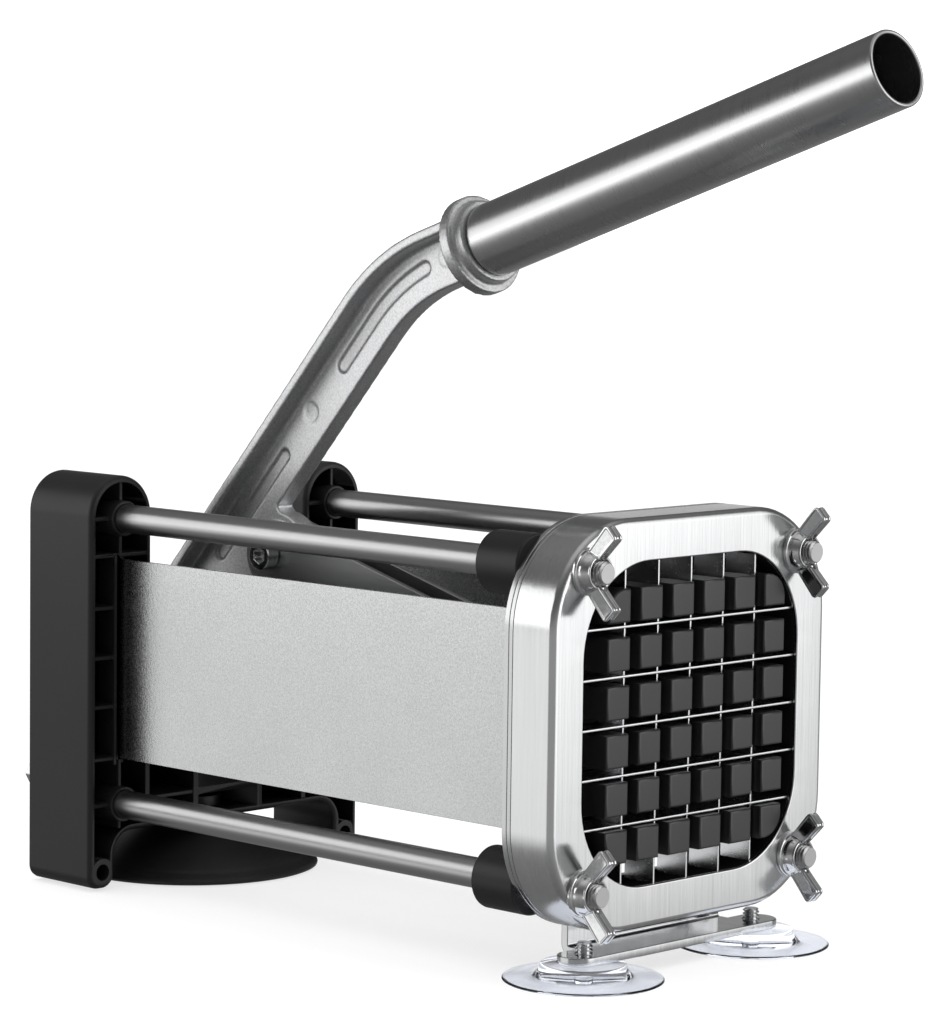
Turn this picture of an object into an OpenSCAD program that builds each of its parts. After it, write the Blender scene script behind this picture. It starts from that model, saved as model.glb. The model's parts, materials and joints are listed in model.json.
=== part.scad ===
// Lever french fry cutter. Millimetres, +Z up, front (blades) faces -Y, rear +Y.
// Every module is drawn about the centre of the blade grid (x across, y rearward,
// z up) and moved by at() so that the part stands on z = 0.

/* [Blade grid] */
// Pitch of the blades, both ways
pitch = 12.7; // [9.5:0.1:14]
// Thickness of one blade
blade_t = 0.6; // [0.4:0.1:1]
// Depth of the blades, front to back
blade_d = 10; // [6:0.5:11]
// Width and height of the outlet window
window = 83.6; // [78:0.2:84]
// Corner radius of the outlet window
window_r = 24; // [18:1:26]

/* [Front end] */
// Width of the drawn cover
cover_w = 106.6; // [104:0.2:110]
// Corner radius of the drawn cover
cover_r = 28; // [20:1:30]
// Depth of the drawn cover
cover_d = 13.8; // [13.8:0.1:14]
// Sheet thickness of the drawn cover
cover_t = 1.2; // [0.8:0.1:1.4]

/* [Tie rods] */
// Half distance between the rods, across
rod_x = 41; // [40.6:0.1:42]
// Half distance between the rods, upright
rod_z = 40.7; // [40.5:0.1:41.5]
// Diameter of the rods
rod_d = 8; // [7.6:0.1:8]
// Diameter of the spacer sleeves
sleeve_d = 16.4; // [14:0.2:18]

/* [Rear frame] */
// Front plane of the rear frame, behind the blades
frame_y = 177; // [176:0.5:180]
// Depth of the rear frame
frame_d = 27.6; // [27:0.2:30]
// Width of one upright
post_w = 22.8; // [21:0.2:23]
// Wall thickness of the moulding
wall = 1.8; // [1.6:0.1:2.4]

/* [Lever] */
// Web thickness of the cast lever
web_t = 6.2; // [5:0.1:7]
// Width of the rear flange of the cast lever
flange_w = 18.4; // [16:0.2:20]
// Depth of the arm in side view
arm_w = 16.2; // [14:0.2:18]
// Diameter of the grip tube
tube_d = 20; // [18:0.5:22]
// Visible length of the grip tube
tube_l = 143; // [100:1:160]

/* [Hidden] */
$fn = 64;

// place of the blade-grid centre in the part's own frame
floor_z = 64.9;                // centre of the blade grid above the ground
cup_y = 193;                   // centre of the rear suction cup
cup_r = 37.4;
grid_y = -(cup_y + cup_r + 73 - tube_l * cos(18.3) - tube_d / 2 * sin(18.3)) / 2;
module at() { translate([0, grid_y, floor_z]) children(); }

// planes of the front stack
face_y = -cover_t;             // outer face of the cover
sheet_y = face_y + cover_d;    // rear rim of the cover
plate_y = sheet_y + 1.5;       // between blade frame and back plate
back_y = plate_y + 1.6;        // rear face of the back plate
sleeve_y = 30.3;               // rear end of the spacers
step_y = 27;                   // shoulder of the rods
rear_y = frame_y + frame_d;

// lever geometry in the y-z plane
F = [196, -22];                // fixed pivot
B = [153.3, 30];               // link bolt on the lever
P = [41.3, 0];                 // link pin on the pusher
S = [73, 121.1];               // where the grip tube leaves the collar
tube_a = 18.3;                 // slope of the grip tube
td = [-cos(tube_a), sin(tube_a)];
tn = [sin(tube_a), cos(tube_a)];
arm_a = 131.75;                // direction of the straight arm
link_w = 20;
web_h = web_t / 2;
link_x0 = 4.2;
link_x1 = 6.0;

module xz(y0, y1) translate([0, y1, 0]) rotate([90, 0, 0]) linear_extrude(y1 - y0) children();
module yz(x0, x1) translate([x0, 0, 0]) rotate([90, 0, 90]) linear_extrude(x1 - x0) children();
module xcyl(x0, x1, r, p) translate([x0, p[0], p[1]]) rotate([0, 90, 0]) cylinder(h = x1 - x0, r = r);
module ycyl(y0, y1, r, p) translate([p[0], y0, p[1]]) rotate([-90, 0, 0]) cylinder(h = y1 - y0, r = r);
module rsq(w, h, r) {
  square([w - 2 * r, h], center = true);
  square([w, h - 2 * r], center = true);
  for (sx = [-1, 1], sy = [-1, 1]) translate([sx * (w / 2 - r), sy * (h / 2 - r)]) circle(r);
}
module box(x0, x1, y0, y1, z0, z1) translate([x0, y0, z0]) cube([x1 - x0, y1 - y0, z1 - z0]);

// ---------- rear frame ----------
bar_top = -8;
bar_bot = -49;
slot_h = 11.6;                 // half width of the lever slot
leg_in = 42.95;                // inner face of a leg
post_x = 41.1;                 // centre of an upright
post_r = post_w / 2;
post_z = 41.3;                 // centre of the arch on top
leg_r = 4;                     // corners under a leg
fr = 6.5;                      // fillet between crossbar and leg
module frame_outline(d = 0) {
  // front outline of the moulding, shrunk by d on every side
  for (s = [-1, 1]) {
    translate([s * post_x, post_z]) circle(post_r - d);
    translate([s * post_x - (post_r - d), bar_bot + d]) square([2 * (post_r - d), post_z - bar_bot - d]);
    translate([s > 0 ? leg_in + d : -(post_x + post_r - d), -64.5 + leg_r]) square([post_x + post_r - leg_in - 2 * d, 64.5 - leg_r + bar_bot + 1 + d]);
    translate([s > 0 ? leg_in + leg_r : -(post_x + post_r - leg_r), -64.5 + d]) square([post_x + post_r - leg_in - 2 * leg_r, leg_r]);
    for (q = [leg_in + leg_r, post_x + post_r - leg_r]) translate([s * q, -64.5 + leg_r]) circle(leg_r - d);
    // fillet between crossbar and leg
    difference() {
      translate([s > 0 ? leg_in - fr : -leg_in - 1 - d, bar_bot - fr]) square(fr + 1 + d);
      translate([s * (leg_in - fr), bar_bot - fr]) circle(fr + d);
    }
  }
  translate([-rod_x, bar_bot + d]) square([2 * rod_x, bar_top - bar_bot - 2 * d]);
}
module rib_h(x0, x1, z) box(x0, x1, frame_y + 0.4, rear_y - 1, z - 0.6, z + 0.6);
module rib_v(x, z0, z1) box(x - 0.6, x + 0.6, frame_y + 0.4, rear_y - 1, z0, z1);
module rear_frame() color("#2a2a2c") at() difference() {
  union() {
    difference() {
      xz(frame_y, rear_y) frame_outline();
      xz(frame_y - 1, rear_y - 2.6) frame_outline(wall);
      // fillet corners stay solid, slot for the lever open to front, top and back
      box(-slot_h, slot_h, frame_y - 1, rear_y + 1, -39.4, bar_top + 1);
    }
    // ribs inside the uprights
    for (s = [-1, 1]) {
      rib_v(s * rod_x, bar_bot + 1, post_z + post_r - 1);
      for (z = [30.2, 15.4, 1.3, -12.7, -27.6, -56.9]) {
        xi = z < -49 ? leg_in + 1 : post_x - post_r + 1;
        xo = post_x + post_r - 1;
        rib_h(s > 0 ? xi : -xo, s > 0 ? xo : -xi, z);
      }
      for (z = [rod_z, -rod_z]) rib_h(s * post_x - post_r + 1, s * post_x + post_r - 1, z);
      // upright inner walls run on through the crossbar
      box(s * (post_x - post_r + wall / 2) - wall / 2, s * (post_x - post_r + wall / 2) + wall / 2, frame_y + 0.4, rear_y - 1, bar_bot + 1, bar_top - 1);
      // slot walls
      box(s > 0 ? slot_h : -slot_h - wall, s > 0 ? slot_h + wall : -slot_h, frame_y, rear_y, bar_bot + 1, bar_top);
      // crossbar ribs
      rib_h(s > 0 ? slot_h + 1 : -(post_x - post_r + 1), s > 0 ? post_x - post_r + 1 : -slot_h - 1, -40.4);
      rib_h(s > 0 ? slot_h + 1 : -(post_x - post_r + 1), s > 0 ? post_x - post_r + 1 : -slot_h - 1, -24.2);
      // rod sockets
      for (z = [rod_z, -rod_z]) ycyl(frame_y - 1.8, rear_y, 5.0, [s * rod_x, z]);
      // leg screw socket
      ycyl(frame_y, rear_y, 3.9, [s * 47.5, -59.8]);
      // shaft bosses
      xcyl(s > 0 ? slot_h : -19, s > 0 ? 19 : -slot_h, 8, F);
      // guides that take the rear edge of the side panel
      box(s * rod_x - 2.4, s * rod_x + 2.4, frame_y + 1.5, frame_y + 7, -29.4, 30.4);
      box(s > 0 ? 42.7 : -43.6, s > 0 ? 43.6 : -42.7, frame_y, frame_y + 7, -29.4, 30.4);
      // small screw bosses for the rear screws
      ycyl(rear_y - 14, rear_y, 4.2, [s * 45.6, -35]);
    }
    // slot floor
    box(-slot_h - 1, slot_h + 1, frame_y, rear_y, -41.4, -39.4);
    // solid block above the suction cup
    translate([0, cup_y, bar_bot]) cylinder(h = 5, r = 8.5);
    box(-8.5, 8.5, cup_y, rear_y - 1, bar_bot, bar_bot + 5);
  }
  for (s = [-1, 1]) {
    for (z = [rod_z, -rod_z]) {
      ycyl(frame_y - 3, frame_y + 20, rod_d / 2 + 0.03, [s * rod_x, z]);
    }
    ycyl(frame_y - 1, rear_y + 1, 2.35, [s * 47.5, -59.8]);
    // slots for the side panels
    box(s * (rod_x - 0.2) - 0.6, s * (rod_x - 0.2) + 0.6, frame_y - 1, frame_y + 4, -27.9, 29.2);
    ycyl(rear_y - 12, rear_y + 1, 2.53, [s * 45.6, -35]);
  }
  xcyl(-17, 17, 4.01, F);
  translate([0, cup_y, bar_bot - 1]) cylinder(h = 7, r = 3.05);
}

module rear_suction_cup() color("#1c1c1e") at() translate([0, cup_y, -floor_z]) difference() {
  rotate_extrude($fn = 96) polygon([[0, 0], [cup_r - 0.5, 0], [cup_r, 0.7], [cup_r - 0.5, 1.5], [33, 4.0], [26, 7.6], [19, 10.8], [14, 12.9],
    [12, 14.1], [12, 15.9], [0, 15.9]]);
  translate([0, 0, -0.01]) rotate_extrude($fn = 96) polygon([[0, 0], [cup_r - 2, 0], [31, 2.2], [25, 4.8], [17, 7.0], [8, 7.8], [0, 7.9]]);
  translate([0, 0, 9.8]) cylinder(h = 10, r = 3.03);
}
module rear_cup_stud() color("#b8b8b8") at() translate([0, cup_y, -54.9]) cylinder(h = 13.3, r = 3);
// ---------- tie rods ----------
stud_y = -7.9;
module tie_rod(sx, sz) color("#bfc1c2") at() difference() {
  union() {
    ycyl(step_y, frame_y + 19.9, rod_d / 2, [sx * rod_x, sz * rod_z]);
    ycyl(stud_y + 0.6, step_y + 0.5, 3, [sx * rod_x, sz * rod_z]);
    translate([sx * rod_x, stud_y, sz * rod_z]) rotate([-90, 0, 0]) cylinder(h = 0.61, r1 = 2.4, r2 = 3);
  }
  ycyl(frame_y + 6, frame_y + 25, 2.03, [sx * rod_x, sz * rod_z]);
}
module tie_rod_upper_left() tie_rod(-1, 1);
module tie_rod_upper_right() tie_rod(1, 1);
module tie_rod_lower_left() tie_rod(-1, -1);
module tie_rod_lower_right() tie_rod(1, -1);
module rear_screws() color("#c4c4c4") at() for (s = [-1, 1]) translate([s * 45.6, rear_y, -35]) rotate([-90, 0, 0]) {
  translate([0, 0, -11.5]) cylinder(h = 12, r = 2.5);
  cylinder(h = 1, r = 5);
  translate([0, 0, 1]) cylinder(h = 3, r = 4.6, $fn = 6);
  translate([0, 0, 4]) cylinder(h = 0.9, r1 = 3.0, r2 = 2.2);
}
module spacer(sx, sz) color("#2a2a2c") at() difference() {
  ycyl(back_y, sleeve_y, sleeve_d / 2, [sx * rod_x, sz * rod_z]);
  ycyl(step_y, sleeve_y + 1, rod_d / 2 + 0.03, [sx * rod_x, sz * rod_z]);
  ycyl(back_y - 1, step_y + 1, 3.03, [sx * rod_x, sz * rod_z]);
}
module spacer_upper_left() spacer(-1, 1);
module spacer_upper_right() spacer(1, 1);
module spacer_lower_left() spacer(-1, -1);
module spacer_lower_right() spacer(1, -1);

// ---------- chamber ----------
panel_z0 = -27.8;
panel_z1 = 29.1;
module side_panel(s) color("#c9cbcb") at()
  box(s * (rod_x - 0.2) - 0.5, s * (rod_x - 0.2) + 0.5, back_y, frame_y + 3.9, panel_z0, panel_z1);
module side_panel_left() side_panel(-1);
module side_panel_right() side_panel(1);
// ---------- front end ----------
module stud_holes(y0, y1, r) for (s = [-1, 1], z = [-1, 1]) ycyl(y0, y1, r, [s * rod_x, z * rod_z]);
module back_plate() color("#b9bbbc") at() difference() {
  xz(plate_y, back_y) difference() { rsq(cover_w, cover_w - 0.6, cover_r); rsq(window + 0.4, window + 0.4, window_r); }
  stud_holes(plate_y - 1, back_y + 1, 3.1);
  // notch that takes the web of the foot
  box(-foot_w - 0.05, foot_w + 0.05, plate_y - 1, back_y + 1, -60, foot_up + 0.05);
}
module blade_slots(g) {
  for (i = [-2 : 2]) {
    box(i * pitch - blade_t / 2 - g, i * pitch + blade_t / 2 + g, -1, blade_d + g, -window / 2 - 2.4 - g, window / 2 + 2.4 + g);
    box(-window / 2 - 2.4 - g, window / 2 + 2.4 + g, -1, blade_d + g, i * pitch - blade_t / 2 - g, i * pitch + blade_t / 2 + g);
  }
}
module blade_frame() color("#2a2a2c") at() difference() {
  union() {
    xz(sheet_y, plate_y) rsq(cover_w, cover_w - 0.6, cover_r);
    xz(0.05, sheet_y + 0.5) rsq(window + 6.4, window + 6.4, 27);
  }
  xz(-1, plate_y + 1) rsq(window, window, window_r);
  stud_holes(-1, plate_y + 1, 3.1);
  blade_slots(0.05);
}
module blades_vertical() color("#d8d8d8") at() for (i = [-2 : 2]) difference() {
  box(i * pitch - blade_t / 2, i * pitch + blade_t / 2, 0.1, blade_d, -window / 2 - 2.4, window / 2 + 2.4);
  for (j = [-2 : 2]) box(i * pitch - 1, i * pitch + 1, -0.5, 0.1 + blade_d / 2, j * pitch - blade_t / 2 - 0.03, j * pitch + blade_t / 2 + 0.03);
}
module blades_horizontal() color("#d8d8d8") at() for (j = [-2 : 2]) difference() {
  box(-window / 2 - 2.4, window / 2 + 2.4, 0.1, blade_d, j * pitch - blade_t / 2, j * pitch + blade_t / 2);
  for (i = [-2 : 2]) box(i * pitch - blade_t / 2 - 0.03, i * pitch + blade_t / 2 + 0.03, 0.1 + blade_d / 2 - 0.06, blade_d + 1, j * pitch - 1, j * pitch + 1);
}
roll = 2;                      // radius of the rolled front edge
module cover_profile(r) {
  translate([0, roll]) square([r, cover_d - roll]);
  square([r - roll, cover_d]);
  translate([r - roll, roll]) circle(roll);
}
module cover_body() {
  w = cover_w / 2 - cover_r;
  h = (cover_w - 0.6) / 2 - cover_r;
  translate([0, face_y, 0]) rotate([-90, 0, 0]) {
    for (k = [0 : 3]) translate([(k == 0 || k == 3 ? 1 : -1) * w, (k < 2 ? 1 : -1) * h, 0]) rotate([0, 0, 90 * k]) rotate_extrude(angle = 90) cover_profile(cover_r);
    for (s = [-1, 1]) {
      translate([s * w, s * h, 0]) rotate([90, 0, s > 0 ? 0 : 180]) linear_extrude(2 * h) cover_profile(cover_r);
      translate([-s * w, s * h, 0]) rotate([90, 0, s > 0 ? 90 : 270]) linear_extrude(2 * w) cover_profile(cover_r);
    }
    translate([-w - 1, -h - 1, 0]) cube([2 * w + 2, 2 * h + 2, cover_d]);
  }
}
module front_cover() color("#d5d7d8") at() difference() {
  cover_body();
  xz(face_y + cover_t, sheet_y + 1) rsq(cover_w - 2 * cover_t, cover_w - 0.6 - 2 * cover_t, cover_r - cover_t);
  xz(face_y - 1, sheet_y) rsq(window, window, window_r);
  stud_holes(face_y - 1, 1, 3.15);
}
module wing_nut(sx, sz) color("#d0d2d3") at() translate([sx * rod_x, face_y - 0.05, sz * rod_z]) difference() {
  union() {
    rotate([90, 0, 0]) cylinder(h = 1.2, r = 5.9);
    translate([0, -1.2, 0]) rotate([90, 0, 0]) cylinder(h = 3.6, r1 = 5.2, r2 = 4.4);
    for (s = [-1, 1]) yz(-1.5, 1.5) polygon([[-0.6, s * 3.6], [-5.1, s * 3.6], [-9.6, s * 8.3], [-9.95, s * 9.0],
      [-9.7, s * 9.7], [-7.6, s * 11.7], [-6.9, s * 12.0], [-6.2, s * 11.6], [-1.0, s * 5.6]]);
  }
  translate([0, 1, 0]) rotate([90, 0, 0]) cylinder(h = 9, r = 3.05);
  translate([0, -4.1, 0]) rotate([90, 0, 0]) cylinder(h = 12, r = 3.6);
}
module wing_nut_upper_left() wing_nut(-1, 1);
module wing_nut_upper_right() wing_nut(1, 1);
module wing_nut_lower_left() wing_nut(-1, -1);
module wing_nut_lower_right() wing_nut(1, -1);

// ---------- front foot ----------
foot_x = 32.9;                 // studs and cups
foot_y = 5.5;
foot_top = -58.15;             // upper face of the foot
foot_t = 2.3;                  // sheet thickness
foot_w = 29.8;                 // half width of the web
foot_up = -46.1;               // top of the web, let into the back plate
bend = [plate_y - 0.6, foot_top + 0.6];
module foot_bracket() color("#c4c6c6") at() difference() {
  union() {
    translate([0, 0, foot_top - foot_t]) linear_extrude(foot_t) {
      translate([-35, 0]) square([70, 11]);
      for (s = [-1, 1]) translate([s * 35, 5.5]) circle(5.5);
    }
    yz(-foot_w, foot_w) {
      translate([8, foot_top - foot_t]) square([bend[0] - 8, foot_t]);
      intersection() {
        translate(bend) difference() { circle(foot_t + 0.6); circle(0.6); }
        translate([bend[0], bend[1] - 5]) square([5, 5]);
      }
      translate([plate_y, bend[1]]) square([foot_t, foot_up - bend[1]]);
    }
  }
  for (s = [-1, 1]) translate([s * foot_x, foot_y, foot_top - 4]) cylinder(h = 6, r = 2.3);
}
cup_h = floor_z + foot_top - foot_t;
module front_cup(s) color("#dfe6ee") at() translate([s * (foot_x + 0.2), foot_y, -floor_z]) difference() {
  rotate_extrude($fn = 96) polygon([[0, 0], [20.5, 0], [20.8, 0.35], [20.4, 0.75], [16, 1.15], [12.6, 1.7], [11.6, 2.3], [11.2, cup_h], [0, cup_h]]);
  translate([0, 0, -0.01]) rotate_extrude($fn = 96) polygon([[0, 0], [19.6, 0], [14, 0.5], [7, 0.9], [0, 1.0]]);
  translate([-0.2 * s, 0, 1.6]) cylinder(h = 4, r = 2.28);
}
module front_cup_left() front_cup(-1);
module front_cup_right() front_cup(1);
module front_cup_studs() color("#c4c4c4") at() for (s = [-1, 1]) translate([s * foot_x, foot_y, -63]) {
  cylinder(h = 7.3, r = 2.25);
  translate([0, 0, 7.3]) cylinder(h = 0.5, r1 = 2.25, r2 = 1.8);
}

// ---------- lever ----------
// centre line of the arm: straight, one arc, then along the grip
arc_r = 60;
arm_h = arm_w / 2;
ad = [cos(arm_a), sin(arm_a)];
turn = 180 - tube_a - arm_a;   // angle turned by the arc
c_end = S - 6.5 * td;          // rear face of the collar
straight_up = 11;              // straight piece under the collar
a1 = c_end - straight_up * td; // arc end
arc_c = a1 - arc_r * tn;       // arc centre
function arc_pt(a) = arc_c + arc_r * [cos(a), sin(a)];
a0_ang = arm_a - 90;           // polar angle of the arc start
a1_ang = 90 - tube_a;
arm0 = arc_pt(a0_ang);
low_l = 107;                   // length of the straight arm
low = arm0 - low_l * ad;
function cl(n) = concat([c_end, a1], [for (i = [1 : n]) arc_pt(a1_ang + (a0_ang - a1_ang) * i / n)], [low]);
function nrm(n) = concat([tn, tn], [for (i = [1 : n]) let (a = a1_ang + (a0_ang - a1_ang) * i / n) [cos(a), sin(a)]], [[cos(a0_ang), sin(a0_ang)]]);
NA = 14;
function strip(o0, o1) = let (c = cl(NA), m = nrm(NA)) concat(
  [for (i = [0 : len(c) - 1]) c[i] + m[i] * o0],
  [for (i = [len(c) - 1 : -1 : 0]) c[i] + m[i] * o1]);
module lobe() {
  // broad lower part of the web: arm foot, link lobe and pivot boss
  polygon([[160.8, 54.2], [154.9, 46.2], [153.6, 43.4], [151.6, 41.2], [149.0, 39.9], [146, 39.2], [142.8, 38.0], [140.6, 35.4],
    [139.8, 31.5], [140.6, 27], [143.5, 22.5], [150, 13], [162, -1], [178, -16], [188, -28.6], [196, -31], [203.6, -28],
    [206.9, -21.2], [206.7, -8], [205.3, 1.6], [202.4, 10.2], [198.4, 17.2], [192.8, 23.9]]);
  translate(B) circle(12);
}
module arm_slot(c0, r) {
  hull() { translate(c0[0]) circle(r, $fn = 24); translate(c0[1]) circle(r, $fn = 24); }
}
function arcband(a0, a1, r, w, n) = concat(
  [for (i = [0 : n]) arc_c + (r + w) * [cos(a0 + (a1 - a0) * i / n), sin(a0 + (a1 - a0) * i / n)]],
  [for (i = [n : -1 : 0]) arc_c + (r - w) * [cos(a0 + (a1 - a0) * i / n), sin(a0 + (a1 - a0) * i / n)]]);
module slot_upper() {
  // long channel that follows the bend
  ro = arc_r - 0.4;
  q0 = arc_c + ro * [cos(a1_ang - 6), sin(a1_ang - 6)];
  q1 = arc_c + ro * [cos(a0_ang), sin(a0_ang)];
  q2 = q1 - 18 * ad;
  polygon(arcband(a1_ang - 6, a0_ang, ro, 2.1, 10));
  translate(q0) circle(2.1);
  translate(q2) circle(2.1);
  polygon([q1 + 2.1 * [cos(a0_ang), sin(a0_ang)], q2 + 2.1 * [cos(a0_ang), sin(a0_ang)],
    q2 - 2.1 * [cos(a0_ang), sin(a0_ang)], q1 - 2.1 * [cos(a0_ang), sin(a0_ang)]]);
}
module slot_lower() {
  q1 = arm0 - 53.5 * ad - 0.6 * [cos(a0_ang), sin(a0_ang)];
  q2 = q1 - 40 * ad;
  n2 = 2.0 * [cos(a0_ang), sin(a0_ang)];
  polygon([q1 + n2, q2 + n2, q2 - n2, q1 - n2]);
  translate(q1) circle(2.0);
  translate(q2) circle(2.0);
}
module handle_casting() color("#b4b6b8") at() difference() {
  union() {
    yz(-web_h, web_h) { polygon(strip(arm_h, -arm_h)); lobe(); }
    // rear flange down to the pivot boss
    yz(-flange_w / 2, flange_w / 2) polygon(strip(arm_h, arm_h - 3.0));
    yz(-flange_w / 2, flange_w / 2) polygon([[191.6, 25.66], [198.6, 17.3], [202.6, 10.3], [205.5, 1.6], [206.9, -8], [206.95, -22.4], [203.9, -22.4],
      [203.8, -7.6], [202.5, 0.9], [199.8, 8.8], [196.2, 15.2], [189.4, 23.6]]);
    // pivot hub and link bosses
    xcyl(-11.2, 11.2, 11, F);
    xcyl(-4.1, 4.1, 9, B);
    // collar, shoulder and spigot
    translate([0, S[0], S[1]]) rotate([-tube_a, 0, 0]) {
      translate([0, 3.0, 0]) rotate([-90, 0, 0]) cylinder(h = 3.6, r = 13.7);
      translate([0, 0, 0]) rotate([-90, 0, 0]) cylinder(h = 3.4, r = 11.4);
      translate([0, -26, 0]) rotate([-90, 0, 0]) cylinder(h = 27, r = 8.75);
    }
  }
  // recesses in the web, both sides
  for (s = [-1, 1]) {
    yz(s > 0 ? web_h - 0.7 : -web_h - 1, s > 0 ? web_h + 1 : -web_h + 0.7) { slot_upper(); slot_lower(); }
    for (q = [arm0 - 36.7 * ad, a1 + 2.4 * td]) xcyl(s > 0 ? web_h - 0.25 : -web_h - 0.5, s > 0 ? web_h + 0.5 : -web_h + 0.25, 3.1, q);
  }
  xcyl(-12, 12, 4.05, F);
  xcyl(-6, 6, 3.53, B);
}
module handle_tube() color("#c6c8c9") at() translate([0, S[0], S[1]]) rotate([-tube_a, 0, 0]) rotate([90, 0, 0]) difference() {
  cylinder(h = tube_l, r = tube_d / 2);
  translate([0, 0, -1]) cylinder(h = tube_l + 2, r = tube_d / 2 - 1.2);
}
module pivot_shaft() color("#c4c4c4") at() xcyl(-16.9, 16.9, 4, F);
module link_bolt() color("#c4c4c4") at() difference() {
  union() {
    xcyl(-6.3, 11.6, 3.5, B);
    xcyl(-10.4, -6.2, 4.1, B);
  }
  xcyl(-11, -7.4, 2.3, B, $fn = 6);
}
module link_nut() color("#c4c4c4") at() difference() {
  translate([6.2, B[0], B[1]]) rotate([0, 90, 0]) cylinder(h = 4.6, r = 6.2, $fn = 6);
  xcyl(5, 12, 3.53, B);
}
// flat link from the lever bolt to the pusher pin
link_l = norm(P - B);
link_a = atan2(P[1] - B[1], P[0] - B[0]);
module link_plate(x0, x1) translate([0, B[0], B[1]]) rotate([link_a, 0, 0]) difference() {
  union() {
    box(x0, x1, 0, link_l, -9.96, 9.96);
    xcyl(x0, x1, 10, [0, 0]);
    xcyl(x0, x1, 10, [link_l, 0]);
  }
  xcyl(x0 - 1, x1 + 1, 3.55, [0, 0]);
  xcyl(x0 - 1, x1 + 1, 4.1, [link_l, 0]);
}
module link_left() color("#bcbec0") at() link_plate(-link_x1, -link_x0);
module link_right() color("#bcbec0") at() link_plate(link_x0, link_x1);

// ---------- pusher ----------
push_y = 17.0;                 // front face of the pusher plate
push_z0 = -35.75;
push_z1 = 40;
stud_front = -2.8;
stud_w = 8.3;
stud_h = 8.6;
stud_px = 12.17;               // pitch of the studs, across and upright
stud_pz = 12.31;
stud_dz = 0.43;
module pusher_block() color("#3a3a3c") at() difference() {
  union() {
    translate([0, 0, (push_z0 + push_z1) / 2]) xz(push_y, push_y + 6) rsq(2 * 39.7, push_z1 - push_z0, 20);
    intersection() {
      union() for (i = [-2.5 : 1 : 2.5], j = [-2.5 : 1 : 2.5])
        box(i * stud_px - stud_w / 2, i * stud_px + stud_w / 2, stud_front, push_y + 1, stud_dz + j * stud_pz - stud_h / 2, stud_dz + j * stud_pz + stud_h / 2);
      translate([0, 0, stud_dz]) xz(-6, push_y + 2) rsq(5 * stud_px + stud_w + 0.02, 5 * stud_pz + stud_h + 0.02, 6.5);
    }
    // lug for the link pin
    yz(-3.7, 3.7) { translate([push_y + 5, -8]) square([P[0] - push_y - 5, 16]); translate(P) circle(8); }
    // stiffening ribs on the back
    for (x = [-30, -19, 19, 30]) box(x - 1, x + 1, push_y + 5, push_y + 10, -31, 31);
    for (z = [-24, 24]) box(-36, 36, push_y + 5, push_y + 8, z - 1, z + 1);
    box(-36, 36, push_y + 5, push_y + 8, -1, 1);
  }
  xcyl(-5, 5, 4.02, P);
}
module pusher_pin() color("#c4c4c4") at() xcyl(-4.1, 4.1, 4, P);

rear_frame();
rear_suction_cup();
rear_cup_stud();
tie_rod_upper_left();
tie_rod_upper_right();
tie_rod_lower_left();
tie_rod_lower_right();
rear_screws();
spacer_upper_left();
spacer_upper_right();
spacer_lower_left();
spacer_lower_right();
side_panel_left();
side_panel_right();
back_plate();
blade_frame();
blades_vertical();
blades_horizontal();
front_cover();
wing_nut_upper_left();
wing_nut_upper_right();
wing_nut_lower_left();
wing_nut_lower_right();
foot_bracket();
front_cup_left();
front_cup_right();
front_cup_studs();
pivot_shaft();
handle_casting();
handle_tube();
link_bolt();
link_nut();
link_left();
link_right();
pusher_block();
pusher_pin();
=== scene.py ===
import json
import math

import bmesh
import bpy
from mathutils import Matrix, Vector, noise


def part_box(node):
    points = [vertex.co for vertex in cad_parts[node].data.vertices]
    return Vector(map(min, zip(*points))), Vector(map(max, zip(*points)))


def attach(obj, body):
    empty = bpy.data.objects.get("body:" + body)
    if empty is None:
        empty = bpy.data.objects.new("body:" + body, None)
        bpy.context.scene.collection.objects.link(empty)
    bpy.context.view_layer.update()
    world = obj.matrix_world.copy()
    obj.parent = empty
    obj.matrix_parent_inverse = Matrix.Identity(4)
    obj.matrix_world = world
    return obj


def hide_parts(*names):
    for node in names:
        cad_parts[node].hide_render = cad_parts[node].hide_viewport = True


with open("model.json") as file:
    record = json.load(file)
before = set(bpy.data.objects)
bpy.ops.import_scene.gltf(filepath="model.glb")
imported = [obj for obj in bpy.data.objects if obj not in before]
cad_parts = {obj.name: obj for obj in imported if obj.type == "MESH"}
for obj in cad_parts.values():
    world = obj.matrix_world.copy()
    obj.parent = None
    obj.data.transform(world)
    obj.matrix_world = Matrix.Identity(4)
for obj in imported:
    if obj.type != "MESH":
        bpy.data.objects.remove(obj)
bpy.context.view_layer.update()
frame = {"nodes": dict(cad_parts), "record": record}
N = frame["nodes"]

# ------------------------------------------------------------------ frame
# Pieces are drawn in millimetres about the centre of the blade grid (x across, y rearward,
# z up) and written in metres in the row frame.
_lo, _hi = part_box("blades_vertical")
GX = (_lo.x + _hi.x) / 2
GY = _lo.y - 0.0001
GZ = (_lo.z + _hi.z) / 2


def W(p):
    return Vector((GX + p[0] / 1000, GY + p[1] / 1000, GZ + p[2] / 1000))


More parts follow.
